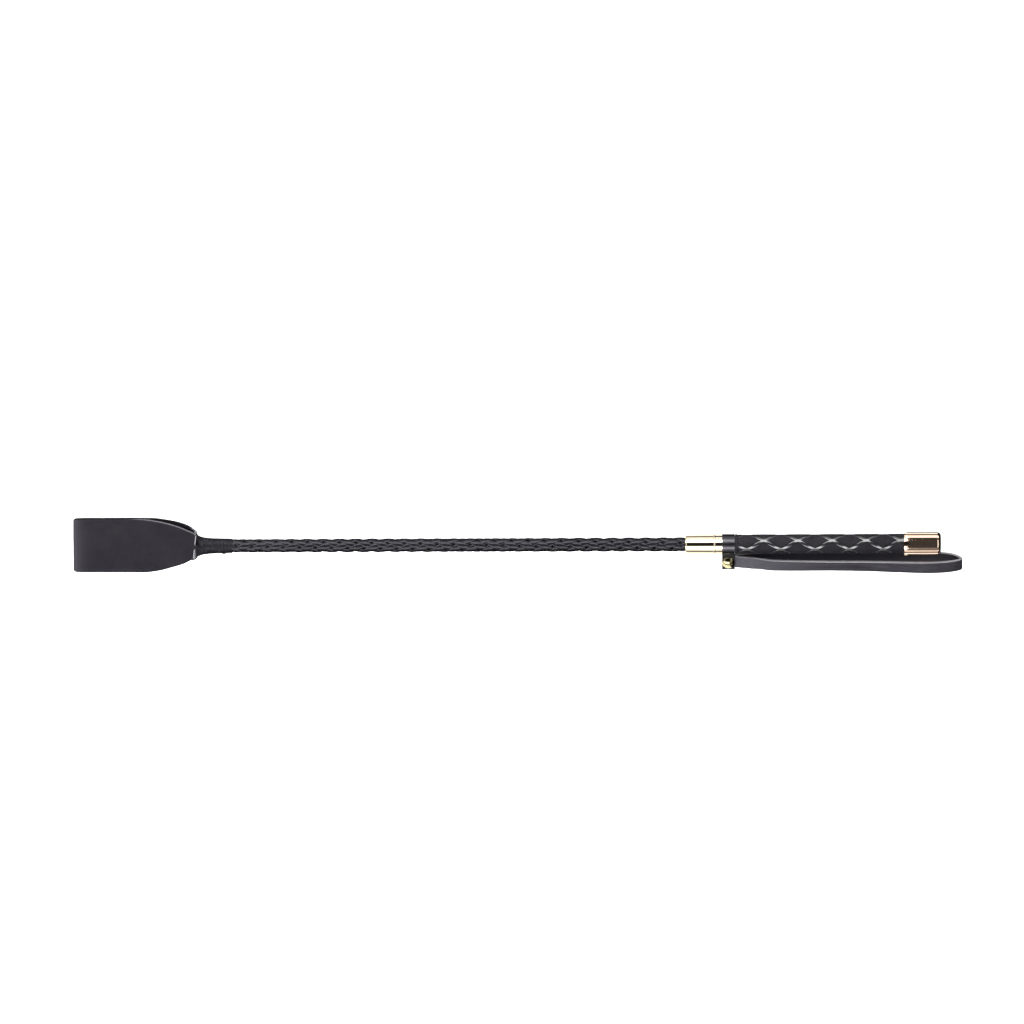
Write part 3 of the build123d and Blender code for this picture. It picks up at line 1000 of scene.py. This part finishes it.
# The same, and the metal pieces that it is for
METAL_PANELS = [
    ("far_under_panel", TENT_LEFT, TENT_END, 120, 180, SOFT, RINGS + CAP),
    ("near_under_panel", TENT_LEFT, TENT_END, -180, -104, SOFT, RINGS + CAP),
    ("far_under_end_panel", TENT_END, TENT_OPEN, 112, 132, END_SOFT, CAP),
    ("near_under_end_panel", TENT_END, TENT_OPEN, -132, -104, END_SOFT, CAP),
    ("rivet_under_panel", TENT_LEFT, TENT_END, -170, -80, RIVET_SOFT, RIVET_PARTS),
    ("ring_left_panel", TENT_LEFT, RING_GAP_LEFT, -18, 18, SOFT, RINGS),
    ("ring_right_panel", RING_GAP_RIGHT, TENT_RIGHT, -18, 18, SOFT, RINGS),
]


def soft_panel(name, x_from, x_to, angle_from, angle_to, brightness):
    """A soft light over a range of angles about the shaft's axis, measured from the camera towards +Y."""
    middle = math.radians((angle_from + angle_to) / 2 + CAMERA_SIDE)
    half = math.radians(abs(angle_to - angle_from) / 2)
    away = TENT_RADIUS * math.cos(half)
    data = bpy.data.lights.new(name, "AREA")
    data.shape = "RECTANGLE"
    data.size = x_to - x_from
    data.size_y = 2 * TENT_RADIUS * math.sin(half)
    data.energy = brightness * math.pi * data.size * data.size_y
    light = bpy.data.objects.new(name, data)
    light.location = ((x_from + x_to) / 2, away * math.sin(middle), away * math.cos(middle))
    light.rotation_euler = (-middle, 0, 0)
    light.visible_camera = False
    bpy.context.scene.collection.objects.link(light)
    return light


def only_for(light, names):
    """Makes a light reach only those nodes."""
    receivers = bpy.data.collections.new(light.name + "_receivers")
    for name in names:
        receivers.objects.link(NODES[name])
    light.light_linking.receiver_collection = receivers


def make_lights():
    """A tent of soft light with a bright strip along each side, a dark gap at the camera, and little
    light over the pommel's end. The light from under the table and round the ferrule only reaches metal."""
    for panel in OPEN_PANELS:
        soft_panel(*panel)
    for *panel, receivers in METAL_PANELS:
        only_for(soft_panel(*panel), receivers)


def make_world():
    """White to the camera, and almost dark to everything else."""
    world = bpy.data.worlds.new("studio")
    bpy.context.scene.world = world
    world.use_nodes = True
    tree = world.node_tree
    background = tree.nodes["Background"]
    background.inputs["Color"].default_value = (1, 1, 1, 1)
    seen = tree.nodes.new("ShaderNodeLightPath").outputs["Is Camera Ray"]
    tree.links.new(ramp(tree, seen, 0, 1, WORLD_GLOW, 1), background.inputs["Strength"])


TILT = math.radians(CAMERA_SIDE)
CAMERA_ROLL = math.radians(-0.18)
VIEW_WIDTH = 0.7671
VIEW_CENTRE_X = -0.3212
# How far the crop lies below the picture's middle
VIEW_DROP = 0.0247
LENS = 1200.0
SENSOR = 36.0


def make_camera():
    """Nearly overhead and tilted from the far side, so that +Y is up in the picture."""
    distance = VIEW_WIDTH * LENS / SENSOR
    up = Vector((0, math.cos(TILT), -math.sin(TILT)))
    back = Vector((0, math.sin(TILT), math.cos(TILT)))
    right = Vector((1, 0, 0))
    roll = Matrix.Rotation(CAMERA_ROLL, 3, back)
    target = Vector((VIEW_CENTRE_X, 0, 0)) + up * VIEW_DROP
    axes = Matrix((roll @ right, roll @ up, back)).transposed()
    data = bpy.data.cameras.new("camera")
    data.lens, data.sensor_width = LENS, SENSOR
    camera = bpy.data.objects.new("camera", data)
    camera.matrix_world = Matrix.Translation(target + back * distance) @ axes.to_4x4()
    bpy.context.scene.collection.objects.link(camera)
    bpy.context.scene.camera = camera


make_floor()
make_lights()
make_world()
make_camera()
bpy.context.scene.view_settings.view_transform = "Standard"

boxes = {"cad": CAD_BOX, "visual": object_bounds()}
{name: [list(corner) for corner in box] for name, box in boxes.items()}
